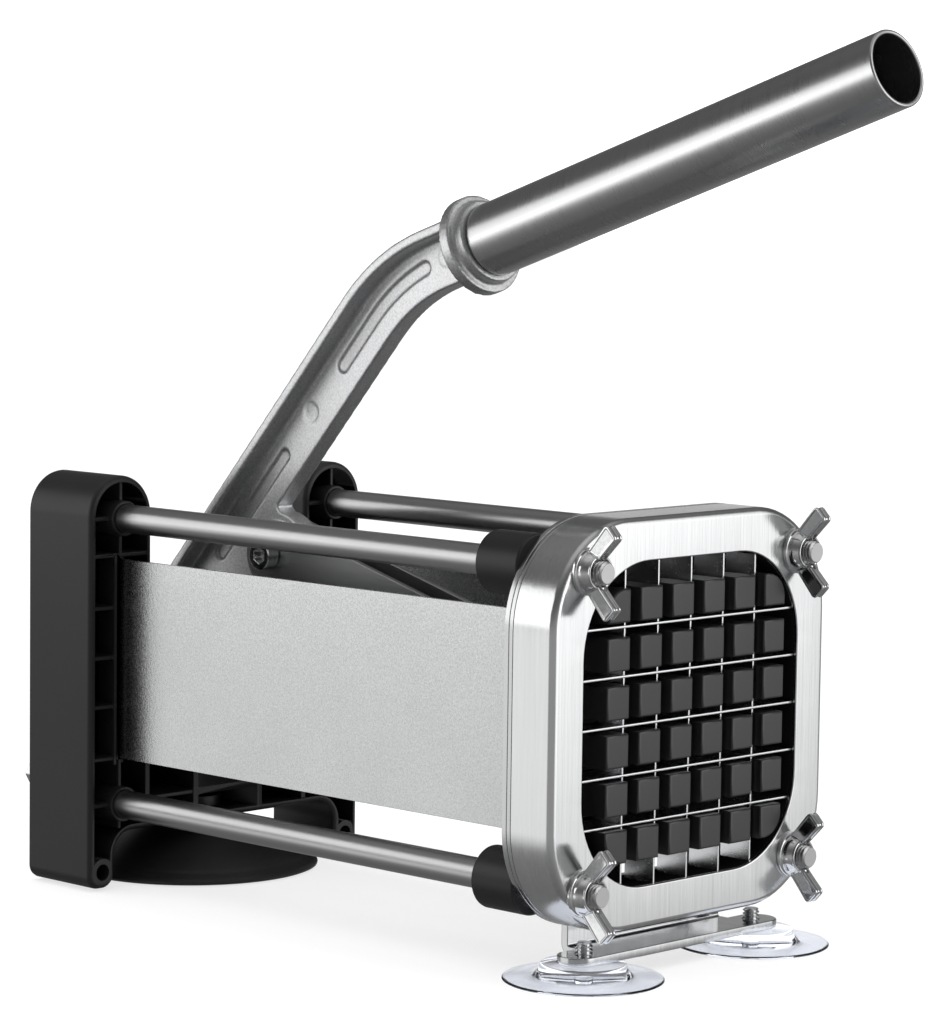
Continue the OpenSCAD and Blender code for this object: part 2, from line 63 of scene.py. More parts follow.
# ------------------------------------------------------------------ camera
az, el, roll, focal = 0.80083, 0.092006, 0.013259, 3764.7
fwd = Vector((math.sin(az) * math.cos(el), math.cos(az) * math.cos(el), -math.sin(el)))
right = Vector((math.cos(az), -math.sin(az), 0))
up = right.cross(fwd)
r2 = math.cos(roll) * right + math.sin(roll) * up
u2 = -math.sin(roll) * right + math.cos(roll) * up
cd = bpy.data.cameras.new("cam")
cam = bpy.data.objects.new("cam", cd)
bpy.context.scene.collection.objects.link(cam)
m = Matrix.Identity(4)
for i in range(3):
    m[i][0], m[i][1], m[i][2] = r2[i], u2[i], -fwd[i]
m.translation = W((-730.53, -630.42, 141.28))
cam.matrix_world = m
cd.sensor_fit = "VERTICAL"
cd.sensor_height = 24
cd.sensor_width = 24
cd.lens = 24 * focal / 1024
cd.clip_start, cd.clip_end = 0.05, 50
bpy.context.scene.camera = cam


# ------------------------------------------------------------------ materials
class Mat:
    """A small helper to wire node materials."""

    def __init__(self, name):
        self.m = bpy.data.materials.new(name)
        self.m.use_nodes = True
        self.t = self.m.node_tree
        self.b = self.t.nodes["Principled BSDF"]
        self._co = None

    def node(self, kind, **kw):
        n = self.t.nodes.new(kind)
        for k, v in kw.items():
            setattr(n, k, v)
        return n

    def link(self, a, b):
        self.t.links.new(a, b)

    def set(self, **kw):
        for k, v in kw.items():
            self.b.inputs[k.replace("_", " ")].default_value = v

    def coords(self):
        if self._co is None:
            self._co = self.node("ShaderNodeTexCoord").outputs["Object"]
        return self._co

    def mapping(self, scale=(1, 1, 1), turn=None, loc=(0, 0, 0)):
        v = self.coords()
        if turn:
            t = self.node("ShaderNodeMapping")
            t.inputs["Rotation"].default_value = turn
            self.link(v, t.inputs["Vector"])
            v = t.outputs["Vector"]
        n = self.node("ShaderNodeMapping")
        n.inputs["Scale"].default_value = scale
        n.inputs["Location"].default_value = loc
        self.link(v, n.inputs["Vector"])
        return n.outputs["Vector"]

    def noise(self, vec, scale, detail=3.0, rough=0.55, distortion=0.0):
        n = self.node("ShaderNodeTexNoise")
        n.inputs["Scale"].default_value = scale
        n.inputs["Detail"].default_value = detail
        n.inputs["Roughness"].default_value = rough
        n.inputs["Distortion"].default_value = distortion
        self.link(vec, n.inputs["Vector"])
        return n.outputs["Fac"]

    def voronoi(self, vec, scale, feature="F1"):
        n = self.node("ShaderNodeTexVoronoi", feature=feature)
        n.inputs["Scale"].default_value = scale
        self.link(vec, n.inputs["Vector"])
        return n.outputs["Distance"]

    def ramp(self, fac, stops):
        n = self.node("ShaderNodeValToRGB")
        els = n.color_ramp.elements
        while len(els) < len(stops):
            els.new(0.5)
        for e, (p, c) in zip(els, stops):
            e.position = p
            e.color = (*c, 1) if not isinstance(c, (int, float)) else (c, c, c, 1)
        self.link(fac, n.inputs["Fac"])
        return n.outputs["Color"]

    def span(self, fac, lo, hi, a=0.0, b=1.0):
        n = self.node("ShaderNodeMapRange")
        n.inputs["From Min"].default_value = a
        n.inputs["From Max"].default_value = b
        n.inputs["To Min"].default_value = lo
        n.inputs["To Max"].default_value = hi
        self.link(fac, n.inputs["Value"])
        return n.outputs["Result"]

    def math(self, op, a, b=None, c=None):
        n = self.node("ShaderNodeMath", operation=op)
        for i, v in enumerate((a, b, c)):
            if v is None:
                continue
            if isinstance(v, (int, float)):
                n.inputs[i].default_value = v
            else:
                self.link(v, n.inputs[i])
        return n.outputs[0]

    def mix(self, fac, a, b, kind="RGBA", blend="MIX"):
        n = self.node("ShaderNodeMix", data_type=kind)
        if kind == "RGBA":
            n.blend_type = blend
            ia, ib, out = n.inputs[6], n.inputs[7], n.outputs[2]
        else:
            ia, ib, out = n.inputs[2], n.inputs[3], n.outputs[0]
        for s, v in ((n.inputs[0], fac), (ia, a), (ib, b)):
            if isinstance(v, (int, float)):
                s.default_value = v if s != ia and s != ib or kind != "RGBA" else (v, v, v, 1)
            elif isinstance(v, tuple):
                s.default_value = (*v, 1) if len(v) == 3 else v
            else:
                self.link(v, s)
        return out

    def bump(self, height, strength, dist, normal=None):
        n = self.node("ShaderNodeBump")
        n.inputs["Strength"].default_value = strength
        n.inputs["Distance"].default_value = dist
        self.link(height, n.inputs["Height"])
        if normal is not None:
            self.link(normal, n.inputs["Normal"])
        return n.outputs["Normal"]

    def to(self, **kw):
        for k, v in kw.items():
            self.link(v, self.b.inputs[k.replace("_", " ")])


def plastic(name, base, rough, grain=0.35, tone=0.25, bump=0.10, scale=2600, ior=1.49):
    k = Mat(name)
    v = k.mapping()
    fine = k.noise(v, scale, 2, 0.6)
    broad = k.noise(v, 45, 4, 0.6)
    lo = tuple(c * (1 - tone) for c in base)
    hi = tuple(min(1, c * (1 + tone)) for c in base)
    col = k.mix(broad, lo, hi)
    col = k.mix(k.span(fine, 0.0, grain), col, hi)
    r = k.math("ADD", k.span(fine, -0.06, 0.06), k.span(broad, rough - 0.05, rough + 0.05))
    k.to(Base_Color=col, Roughness=r, Normal=k.bump(fine, bump, 0.0001))
    k.set(IOR=ior)
    return k.m


def brushed(name, base, rough, stretch, contrast=0.12, bump=0.08, fine=2200, blotch=0.06, rspread=0.10, speck=0.0, rot=None):
    """Bare metal with hairlines that run along the axis with the small stretch value."""
    k = Mat(name)
    v = k.mapping(scale=stretch, turn=rot)
    lines = k.noise(v, fine, 4, 0.65)
    lines2 = k.noise(v, fine / 5, 3, 0.6)
    broad = k.noise(k.mapping(), 28, 4, 0.55)
    mixed = k.math("ADD", k.math("MULTIPLY", lines, 0.65), k.math("MULTIPLY", lines2, 0.35))
    lo = tuple(c * (1 - contrast) for c in base)
    hi = tuple(min(1, c * (1 + contrast)) for c in base)
    col = k.mix(mixed, lo, hi)
    col = k.mix(k.span(broad, 0, blotch * 2), col, lo)
    if speck:
        s = k.noise(k.mapping(), 3200, 2, 0.5)
        col = k.mix(k.span(s, 0, speck, 0.35, 0.7), col, tuple(c * 0.72 for c in base))
    r = k.math("ADD", k.span(mixed, rough - rspread, rough + rspread), k.span(broad, -0.04, 0.04))
    k.to(Base_Color=col, Roughness=r, Normal=k.bump(mixed, bump, 0.00006))
    k.set(Metallic=1.0)
    return k.m


def beaded(name, base, rough, grain=0.25, bump=0.25, scale=2400, broadc=0.08, coarse=700):
    """Metal with an even, non-directional texture: cast, tumbled or bead blasted."""
    k = Mat(name)
    v = k.mapping()
    fine = k.noise(v, scale, 3, 0.6)
    mid = k.noise(v, coarse, 3, 0.6)
    broad = k.noise(v, 30, 4, 0.6)
    lo = tuple(c * (1 - grain) for c in base)
    hi = tuple(min(1, c * (1 + grain * 0.6)) for c in base)
    col = k.mix(k.span(fine, 0, 1, 0.3, 0.7), lo, hi)
    col = k.mix(k.span(broad, 0, broadc * 2), col, lo)
    h = k.math("ADD", k.math("MULTIPLY", fine, 0.5), k.math("MULTIPLY", mid, 0.5))
    r = k.math("ADD", k.span(fine, rough - 0.08, rough + 0.08), k.span(broad, -0.05, 0.05))
    k.to(Base_Color=col, Roughness=r, Normal=k.bump(h, bump, 0.0001))
    k.set(Metallic=1.0)
    return k.m


def vinyl(name):
    k = Mat(name)
    v = k.mapping()
    broad = k.noise(v, 60, 3, 0.5)
    fine = k.noise(v, 900, 2, 0.5)
    k.to(Base_Color=k.mix(broad, (0.78, 0.81, 0.88), (0.86, 0.88, 0.94)),
         Roughness=k.span(fine, 0.02, 0.12),
         Normal=k.bump(broad, 0.05, 0.0004))
    k.set(IOR=1.16)
    k.b.inputs["Transmission Weight"].default_value = 1.0
    return k.m


M = {}
M["black_plastic"] = plastic("m_black_plastic", (0.0085, 0.0085, 0.0095), 0.42, tone=0.2, bump=0.18, ior=1.44)
M["stud_plastic"] = plastic("m_stud_plastic", (0.010, 0.010, 0.011), 0.36, tone=0.15, bump=0.20, ior=1.66)
# near black with the specular turned off, so it shows no sheen at all; used on the blade carrier ring for the dark
# space round the blades
M["matte_plastic"] = plastic("m_matte_black_no_specular", (0.008, 0.008, 0.009), 0.62, tone=0.2, bump=0.2)
M["matte_plastic"].node_tree.nodes["Principled BSDF"].inputs["Specular IOR Level"].default_value = 0.0
M["black_rubber"] = plastic("m_black_rubber", (0.014, 0.014, 0.015), 0.38, tone=0.2, bump=0.08, scale=1200)
M["clear_vinyl"] = vinyl("m_clear_vinyl")
M["cover_steel"] = brushed("m_cover_steel", (0.74, 0.745, 0.75), 0.19, (1, 1, 0.03), contrast=0.16, bump=0.5, fine=1300, rspread=0.05)
M["panel_steel"] = beaded("m_panel_steel", (0.68, 0.685, 0.69), 0.27, grain=0.20, bump=0.75, scale=1700, coarse=1000)
M["rod_steel"] = brushed("m_rod_steel", (0.52, 0.52, 0.52), 0.33, (0.06, 1, 0.06), contrast=0.05, bump=0.03)
M["blade_steel"] = brushed("m_blade_steel", (0.74, 0.75, 0.76), 0.25, (1, 1, 1), contrast=0.05, bump=0.04)
M["plate_steel"] = brushed("m_plate_steel", (0.66, 0.665, 0.67), 0.25, (0.1, 1, 0.1), contrast=0.14, bump=0.12)
M["link_steel"] = brushed("m_link_steel", (0.42, 0.425, 0.43), 0.34, (1, 0.05, 1), contrast=0.10, bump=0.06)
M["zinc"] = beaded("m_zinc", (0.84, 0.845, 0.85), 0.13, grain=0.10, bump=0.16, scale=1100, coarse=420)
M["fastener"] = brushed("m_fastener", (0.78, 0.785, 0.79), 0.16, (1, 1, 1), contrast=0.08, bump=0.04)
M["cast_alloy"] = beaded("m_cast_alloy", (0.69, 0.695, 0.70), 0.45, grain=0.26, bump=0.7, scale=1700, coarse=950)
M["foot_steel"] = brushed("m_foot_steel", (0.60, 0.605, 0.61), 0.10, (1, 0.03, 0.03), contrast=0.28, bump=0.22, fine=1100, rspread=0.04)
M["tube_steel"] = brushed("m_tube_steel", (0.58, 0.582, 0.585), 0.29, (0.06, 1, 0.06), contrast=0.06, bump=0.04, rot=(math.radians(18.3), 0, 0))

node_slot = {p["node"]: p["material_slot"] for p in frame["record"]["subparts"]}
node_body = {n: b for b, ns in frame["record"]["behaviour"]["bodies"].items() for n in ns}


# ------------------------------------------------------------------ mesh helpers
def finish_piece(name, bm, node, mat=None, replaces=None, sharp=50, weighted=True, slot=None):
    """Turns a bmesh drawn in millimetres into a piece that rides with the body of a CAD node."""
    me = bpy.data.meshes.new(name)
    bm.normal_update()
    bm.to_mesh(me)
    bm.free()
    return finish_mesh(name, me, node, mat, replaces, sharp, weighted, slot)


def finish_mesh(name, me, node, mat=None, replaces=None, sharp=50, weighted=True, slot=None):
    for p in me.polygons:
        p.use_smooth = True
    if sharp:
        me.set_sharp_from_angle(angle=math.radians(sharp))
    o = bpy.data.objects.new(name, me)
    bpy.context.scene.collection.objects.link(o)
    o.data.materials.clear()
    slot = slot or node_slot[node]
    o.data.materials.append(mat or M[slot])
    if weighted:
        w = o.modifiers.new("wn", "WEIGHTED_NORMAL")
        w.keep_sharp = True
        w.weight = 50
    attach(o, node_body[node])
    if replaces is None:
        replaces = [node]
    if replaces:
        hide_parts(*replaces)
    return o


def to_world(bm):
    for v in bm.verts:
        v.co = W(v.co)


def cad_bm(node):
    """A copy of a CAD node's mesh, welded and with its flat faces joined, in millimetres."""
    bm = bmesh.new()
    bm.from_mesh(N[node].data)
    for v in bm.verts:
        v.co = Vector(((v.co.x - GX) * 1000, (v.co.y - GY) * 1000, (v.co.z - GZ) * 1000))
    bmesh.ops.remove_doubles(bm, verts=bm.verts, dist=0.002)
    bmesh.ops.dissolve_degenerate(bm, dist=0.002, edges=bm.edges)
    bmesh.ops.dissolve_limit(bm, angle_limit=math.radians(0.8), use_dissolve_boundaries=False, verts=bm.verts, edges=bm.edges)
    bmesh.ops.recalc_face_normals(bm, faces=bm.faces)
    return bm


def sharp_edges(bm, angle=28, test=None):
    lim = math.radians(angle)
    return [e for e in bm.edges if len(e.link_faces) == 2 and e.calc_face_angle(0) > lim and (test is None or test(e))]


def bevel(bm, edges, w, seg=2, profile=0.5):
    if edges:
        bmesh.ops.bevel(bm, geom=edges, offset=w, offset_type="OFFSET", segments=seg, profile=profile,
                        affect="EDGES", clamp_overlap=False, loop_slide=True, miter_outer="SHARP", miter_inner="SHARP")


def from_cad(node, w=0.25, seg=2, name=None, mat=None, angle=28, test=None, sharp=50, edit=None):
    bm = cad_bm(node)
    bevel(bm, sharp_edges(bm, angle, test), w, seg)
    if edit:
        edit(bm)
    to_world(bm)
    return finish_piece(name or node + "_piece", bm, node, mat, sharp=sharp)


def rr(w, h, r, n=14, flat=1):
    """A rounded rectangle as (x, z) points, anticlockwise seen from the front."""
    pts = []
    cs = [(w / 2 - r, h / 2 - r, 0), (-(w / 2 - r), h / 2 - r, 90), (-(w / 2 - r), -(h / 2 - r), 180), (w / 2 - r, -(h / 2 - r), 270)]
    for cx, cz, a0 in cs:
        for i in range(n + 1):
            a = math.radians(a0 + 90 * i / n)
            pts.append((cx + r * math.cos(a), cz + r * math.sin(a)))
    if flat > 1:
        out = []
        for i, p in enumerate(pts):
            q = pts[(i + 1) % len(pts)]
            out.append(p)
            if (i + 1) % (n + 1) == 0:
                for k in range(1, flat):
                    out.append((p[0] + (q[0] - p[0]) * k / flat, p[1] + (q[1] - p[1]) * k / flat))
        pts = out
    return pts


def loop_at(bm, pts, y):
    return [bm.verts.new((p[0], y, p[1])) for p in pts]


def bridge(bm, a, b, closed=True):
    n = len(a)
    for i in range(n if closed else n - 1):
        j = (i + 1) % n
        bm.faces.new((a[i], a[j], b[j], b[i]))


def edges_of(bm, loop):
    out = []
    for i in range(len(loop)):
        a, b = loop[i], loop[(i + 1) % len(loop)]
        out.append(bm.edges.get((a, b)) or bm.edges.new((a, b)))
    return out


def fill(bm, loops):
    es = [e for l in loops for e in edges_of(bm, l)]
    bmesh.ops.triangle_fill(bm, use_beauty=True, use_dissolve=False, edges=es)


def circle_pts(cx, cz, r, n=32):
    return [(cx + r * math.cos(2 * math.pi * i / n), cz + r * math.sin(2 * math.pi * i / n)) for i in range(n)]


def lathe(bm, prof, place, n=48, closed=False):
    """Revolves (radius, height) points; place(x, y, h) turns local points into millimetres. Ends at r = 0 are closed with a fan."""
    rings = []
    for r, h in prof:
        if r < 1e-6:
            rings.append([bm.verts.new(place(0, 0, h))])
        else:
            rings.append([bm.verts.new(place(r * math.cos(2 * math.pi * i / n), r * math.sin(2 * math.pi * i / n), h)) for i in range(n)])
    pairs = list(zip(rings, rings[1:]))
    if closed:
        pairs.append((rings[-1], rings[0]))
    for a, b in pairs:
        if len(a) == 1 and len(b) == 1:
            continue
        if len(a) == 1:
            for i in range(n):
                bm.faces.new((a[0], b[i], b[(i + 1) % n]))
        elif len(b) == 1:
            for i in range(n):
                bm.faces.new((a[i], b[0], a[(i + 1) % n]))
        else:
            bridge(bm, a, b)
    return rings


def arc(cx, cy, r, a0, a1, n):
    return [(cx + r * math.cos(math.radians(a0 + (a1 - a0) * i / n)), cy + r * math.sin(math.radians(a0 + (a1 - a0) * i / n))) for i in range(n + 1)]


def screw(bm, place, h0, h1, r_out, r_in, pitch, n=40, lead=0.6, step=8):
    """A helical thread surface from h0 to h1 (h1 is the free end, chamfered and closed). Returns the ring at h0."""
    rings = []
    k = max(2, int(round((h1 - lead - h0) / (pitch / step))))
    hs = [h0 + (h1 - lead - h0) * i / k for i in range(k + 1)]
    m = 6
    hs += [h1 - lead + lead * i / m for i in range(1, m + 1)]
    for h in hs:
        ring = []
        for i in range(n):
            a = 2 * math.pi * i / n
            t = (h / pitch - a / (2 * math.pi)) % 1.0
            s = abs(2 * t - 1)
            s = min(1.0, max(0.0, (s - 0.10) / 0.75))
            r = r_in + (r_out - r_in) * s
            lim = r_out if h <= h1 - lead else r_out - (h - (h1 - lead)) / lead * (r_out - r_in) * 0.62
            r = min(r, lim)
            ring.append(bm.verts.new(place(r * math.cos(a), r * math.sin(a), h)))
        rings.append(ring)
    for a, b in zip(rings, rings[1:]):
        bridge(bm, a, b)
    c = bm.verts.new(place(0, 0, h1))
    last = rings[-1]
    for i in range(n):
        bm.faces.new((last[i], c, last[(i + 1) % n]))
    return rings[0]


def voxelize(bm, size, smooth=2, ratio=1.0, post=None):
    """Joins overlapping shells into one skin with soft cast corners. Size in millimetres."""
    me = bpy.data.meshes.new("tmp")
    bm.normal_update()
    bm.to_mesh(me)
    bm.free()
    o = bpy.data.objects.new("tmp", me)
    bpy.context.scene.collection.objects.link(o)
    r = o.modifiers.new("r", "REMESH")
    r.mode = "VOXEL"
    r.voxel_size = size
    r.adaptivity = 0
    if smooth:
        s = o.modifiers.new("s", "SMOOTH")
        s.factor = 0.5
        s.iterations = smooth
    dg = bpy.context.evaluated_depsgraph_get()
    out = bpy.data.meshes.new_from_object(o.evaluated_get(dg))
    bpy.data.objects.remove(o)
    bpy.data.meshes.remove(me)
    if post:
        post(out)
    if ratio < 1:
        o = bpy.data.objects.new("tmp", out)
        bpy.context.scene.collection.objects.link(o)
        d = o.modifiers.new("d", "DECIMATE")
        d.ratio = ratio
        dg = bpy.context.evaluated_depsgraph_get()
        out2 = bpy.data.meshes.new_from_object(o.evaluated_get(dg))
        bpy.data.objects.remove(o)
        bpy.data.meshes.remove(out)
        out = out2
    return out


def mesh_to_world(me, off=(0, 0, 0)):
    for v in me.vertices:
        v.co = W(v.co + Vector(off))
    me.update()


# ------------------------------------------------------------------ front end
FACE, SHEET, PLATE, BACK = -1.2, 12.6, 14.1, 15.7
ROD = [(-41, 40.7, "upper_left"), (41, 40.7, "upper_right"), (-41, -40.7, "lower_left"), (41, -40.7, "lower_right")]


def cover_loop(d, n=16):
    return rr(106.6 - 2 * d, 106.0 - 2 * d, 28 - d, n, 6)


def window_loop(g=0.0, n=16, size=83.6, r=24):
    return rr(size + 2 * g, size + 2 * g, r + g, n, 6)


bm = bmesh.new()
prof = [(2.0 * (1 - math.sin(math.radians(a))), FACE + 2.0 * (1 - math.cos(math.radians(a)))) for a in range(0, 91, 9)]
prof += [(0, 4), (0, 8), (0, SHEET - 0.16), (0.05, SHEET - 0.04), (0.16, SHEET), (1.06, SHEET), (1.2, SHEET - 0.14), (1.2, 6), (1.2, 0.9), (1.45, 0.25), (2.1, 0.0)]
loops = [loop_at(bm, cover_loop(d), y) for d, y in prof]
for a, b in zip(loops, loops[1:]):
    bridge(bm, a, b)
wprof = [(0.42, FACE), (0.22, FACE + 0.06), (0.07, FACE + 0.2), (0.0, FACE + 0.42), (0.0, -0.2), (0.08, -0.06), (0.22, 0.0)]
wl = [loop_at(bm, window_loop(g), y) for g, y in wprof]
for a, b in zip(wl, wl[1:]):
    bridge(bm, a, b)
holes_f = [loop_at(bm, circle_pts(x, z, 3.15), FACE) for x, z, _ in ROD]
holes_b = [loop_at(bm, circle_pts(x, z, 3.15), 0.0) for x, z, _ in ROD]
for a, b in zip(holes_f, holes_b):
    bridge(bm, a, b)
fill(bm, [loops[0], wl[0], *holes_f])
fill(bm, [loops[-1], wl[-1], *holes_b])
bmesh.ops.recalc_face_normals(bm, faces=bm.faces)
to_world(bm)
cover = finish_piece("front_cover_sheet", bm, "front_cover", sharp=60)


def plate_piece(name, node, outer, inner, y0, y1, c=0.12, holes=3.1, mat=None, replaces=None, slot=None):
    """A stamped plate between y0 and y1 with a window and slightly broken edges."""
    bm = bmesh.new()
    lo = [loop_at(bm, outer(d), y) for d, y in ((c, y0), (0, y0 + c), (0, y1 - c), (c, y1))]
    li = [loop_at(bm, inner(d), y) for d, y in ((c, y0), (0, y0 + c), (0, y1 - c), (c, y1))]
    for ls in (lo, li):
        for a, b in zip(ls, ls[1:]):
            bridge(bm, a, b)
    ha, hb = [], []
    if holes:
        ha = [loop_at(bm, circle_pts(x, z, holes), y0) for x, z, _ in ROD]
        hb = [loop_at(bm, circle_pts(x, z, holes), y1) for x, z, _ in ROD]
        for a, b in zip(ha, hb):
            bridge(bm, a, b)
    fill(bm, [lo[0], li[0], *ha])
    fill(bm, [lo[-1], li[-1], *hb])
    bmesh.ops.recalc_face_normals(bm, faces=bm.faces)
    to_world(bm)
    return finish_piece(name, bm, node, mat, replaces, slot=slot)


from_cad("back_plate", 0.12, 1, "back_plate_sheet")
plate_piece("blade_plate_sheet", "blade_frame", lambda d: rr(106.4 - 2 * d, 105.8 - 2 * d, 27.9 - d, 16, 6),
            lambda d: window_loop(d), SHEET + 0.18, PLATE - 0.02, mat=M["plate_steel"], replaces=[], slot="plate_steel")
# near-black ring that carries the blades, with its specular turned off; its darkness stands for the dark space seen
# round the blades, whose cause is not settled
bm = bmesh.new()
prof_o = [(0.5, 0.05), (0.15, 0.15), (0.0, 0.45), (0.0, 12.7)]
lo = [loop_at(bm, rr(90 - 2 * d, 90 - 2 * d, 27 - d, 16, 6), y) for d, y in prof_o]
prof_i = [(0.35, 0.05), (0.1, 0.12), (0.0, 0.4), (0.0, 12.7)]
li = [loop_at(bm, window_loop(d), y) for d, y in prof_i]
for ls in (lo, li):
    for a, b in zip(ls, ls[1:]):
        bridge(bm, a, b)
bridge(bm, lo[0], li[0])
bridge(bm, lo[-1], li[-1])
bmesh.ops.recalc_face_normals(bm, faces=bm.faces)
to_world(bm)
finish_piece("blade_carrier_ring", bm, "blade_frame", mat=M["matte_plastic"])

from_cad("blades_vertical", 0.07, 1)
from_cad("blades_horizontal", 0.07, 1)


# ------------------------------------------------------------------ wing nuts and rods
def wing_nut_mesh():
    bm = bmesh.new()

    def place(x, y, h):  # h measured forward from the cover
        return (x, -0.05 - h, y)

    prof = [(3.05, 1.2), (5.85, 1.2), (6.05, 1.35), (6.05, 1.95), (5.9, 2.15), (5.45, 2.3), (5.25, 2.55), (5.2, 3.0), (5.05, 3.6),
            (4.8, 4.2), (4.52, 4.7), (4.3, 4.95), (4.12, 5.05), (4.12, 5.15), (4.35, 5.25), (4.42, 5.42), (4.32, 5.6),
            (4.1, 5.67), (3.8, 5.6), (3.6, 5.3), (3.05, 4.8)]
    lathe(bm, prof, place, 64, closed=True)
    outline = [(-2.1, 3.2), (-6.2, 3.2), (-6.6, 3.8), (-8.8, 6.05), (-11.0, 8.25), (-11.28, 8.8), (-11.1, 9.5), (-9.1, 11.6), (-8.4, 11.98), (-7.6, 11.7),
               (-5.0, 8.65), (-2.3, 5.5)]
    for s in (-1, 1):
        pts = [(y, s * z) for y, z in outline]
        cy = sum(p[0] for p in pts) / len(pts)
        cz = sum(p[1] for p in pts) / len(pts)

        def ring(x, shrink):
            vs = []
            n = len(pts)
            for i, (y, z) in enumerate(pts):
                a, b = pts[i - 1], pts[(i + 1) % n]
                t = Vector((b[0] - a[0], b[1] - a[1])).normalized()
                nn = Vector((-t.y, t.x))
                if nn.dot(Vector((y - cy, z - cz))) < 0:
                    nn = -nn
                vs.append(bm.verts.new((x, y - nn.x * shrink, z - nn.y * shrink)))
            return vs

        rs = [ring(-1.38, 0.75), ring(-1.5, 0.62), ring(-1.5, 0.2), ring(-1.32, 0.0), ring(-0.72, 0.0), ring(-0.5, 0.42), ring(0.5, 0.42), ring(0.72, 0.0),
              ring(1.32, 0.0), ring(1.5, 0.2), ring(1.5, 0.62), ring(1.38, 0.75)]
        for a, b in zip(rs, rs[1:]):
            bridge(bm, a, b)
        bm.faces.new(rs[0])
        bm.faces.new(rs[-1])
    bmesh.ops.recalc_face_normals(bm, faces=bm.faces)
    return voxelize(bm, 0.14, 1, 0.4)


wn = wing_nut_mesh()
for x, z, tag in ROD:
    me = wn.copy()
    mesh_to_world(me, (x, 0, z))
    finish_mesh("wing_nut_cast_" + tag, me, "wing_nut_" + tag, sharp=0, weighted=False)


for x, z, tag in ROD:
    bm = bmesh.new()

    def place(u, v, h, x=x, z=z):  # h grows toward the front
        return (x + u, -h, z + v)

    first = screw(bm, place, 2.0, 7.9, 3.0, 2.25, 1.0, n=48, lead=0.4, step=12)
    prof = [(2.9, 1.8), (2.9, -26.9), (3.1, -27.0), (3.7, -27.0), (4.0, -27.3), (4.0, -60), (4.0, -120), (4.0, -196.4), (3.6, -196.9), (0, -196.9)]
    rings = lathe(bm, prof, place, 48)
    bridge(bm, first, rings[0])
    bmesh.ops.recalc_face_normals(bm, faces=bm.faces)
    to_world(bm)
    finish_piece("tie_rod_bar_" + tag, bm, "tie_rod_" + tag, sharp=24)
    from_cad("spacer_" + tag, 0.55, 3)

for s in ("left", "right"):
    from_cad("side_panel_" + s, 0.14, 2)

# ------------------------------------------------------------------ rear frame
bm = cad_bm("rear_frame")
REAR = 204.6


def on_outline(p):
    """Point on the outer outline of the moulding."""
    x, z = abs(p.x), p.z

    def near(v, w):
        return abs(v - w) < 0.06

    if near(x, 52.5) or (near(x, 29.7) and z > -8.06) or (z > 41.2 and near(math.hypot(x - 41.1, z - 41.3), 11.4)):
        return True
    if z < -55.4 and (near(x, 42.95) or near(math.hypot(x - 36.45, z + 55.5), 6.5)):
        return True
    if z < -60.4 and (near(z, -64.5) or near(math.hypot(x - 46.95, z + 60.5), 4) or near(math.hypot(x - 48.5, z + 60.5), 4)):
        return True
    if near(math.hypot(x - 36.45, z + 55.5), 6.5) and z > -55.6 and x > 36.3:
        return True
    return (near(z, -8) and 14.5 < x < 29.8) or (near(z, -49) and x < 36.6)


def rim(yy):
    return lambda e: all(abs(v.co.y - yy) < 0.01 and on_outline(v.co) for v in e.verts)


bevel(bm, sharp_edges(bm, 28, rim(REAR)), 1.5, 3)
bevel(bm, sharp_edges(bm, 28, rim(177.0)), 1.45, 4)
bevel(bm, sharp_edges(bm, 40, lambda e: not all(abs(v.co.y - 177.0) < 0.02 for v in e.verts)), 0.25, 1)
to_world(bm)
finish_piece("rear_frame_moulding", bm, "rear_frame", sharp=50)
from_cad("rear_screws", 0.25, 2)
from_cad("rear_cup_stud", 0.2, 1)
from_cad("pivot_shaft", 0.4, 2)
from_cad("pusher_pin", 0.4, 2)


# ------------------------------------------------------------------ cups and foot
def cup_place(cx, cy):
    return lambda x, y, h: (cx + x, cy + y, -64.9 + h)


bm = bmesh.new()
outer = [(0, 7.9), (8, 7.8), (17, 7.0), (25, 4.8), (31, 2.2), (35.3, 0.12), (36.6, 0.0), (37.25, 0.25), (37.38, 0.75), (37.1, 1.3), (36.2, 1.85), (34.5, 2.75),
         (33.6, 3.35), (33.0, 3.9), (30, 5.6), (26, 7.6), (22.5, 9.2), (19, 10.8), (16.2, 12.0), (14.0, 12.95), (13.0, 13.5), (12.4, 14.1), (12.0, 14.7), (12.0, 15.5), (11.6, 15.9), (0, 15.9)]
lathe(bm, outer, cup_place(0, 193), 96)
bmesh.ops.recalc_face_normals(bm, faces=bm.faces)
to_world(bm)
finish_piece("rear_suction_cup_rubber", bm, "rear_suction_cup", sharp=35)

for s, tag in ((-1, "left"), (1, "right")):
    bm = bmesh.new()
    prof = [(0, 1.05), (6, 0.98), (10, 0.8), (14, 0.5), (17.5, 0.2), (19.6, 0.02), (20.4, 0.0), (20.75, 0.2), (20.78, 0.45), (20.5, 0.72), (19.2, 0.86), (17.6, 1.0),
            (16.2, 1.14), (14.8, 1.3), (13.6, 1.5), (12.7, 1.75), (12.1, 2.1), (11.65, 2.6), (11.4, 3.2), (11.2, 3.8), (11.08, 4.2), (10.85, 4.41), (8.0, 4.44), (0, 4.44)]
    lathe(bm, prof, cup_place(s * 33.1, 5.5), 96)
    bmesh.ops.recalc_face_normals(bm, faces=bm.faces)
    to_world(bm)
    finish_piece("front_cup_vinyl_" + tag, bm, "front_cup_" + tag, sharp=35)

bm = bmesh.new()
for s in (-1, 1):
    def place(u, v, h, s=s):
        return (s * 32.9 + u, 5.5 + v, h)
    first = screw(bm, place, -60.2, -55.2, 2.25, 1.65, 0.95, n=40, lead=0.4)
    rings = lathe(bm, [(2.2, -60.4), (2.2, -62.8), (2.0, -63), (0, -63)], place, 40)
    bridge(bm, first, rings[0])
bmesh.ops.recalc_face_normals(bm, faces=bm.faces)
to_world(bm)
finish_piece("front_cup_studs_threaded", bm, "front_cup_studs", sharp=40)
from_cad("foot_bracket", 0.3, 2, mat=M["foot_steel"])

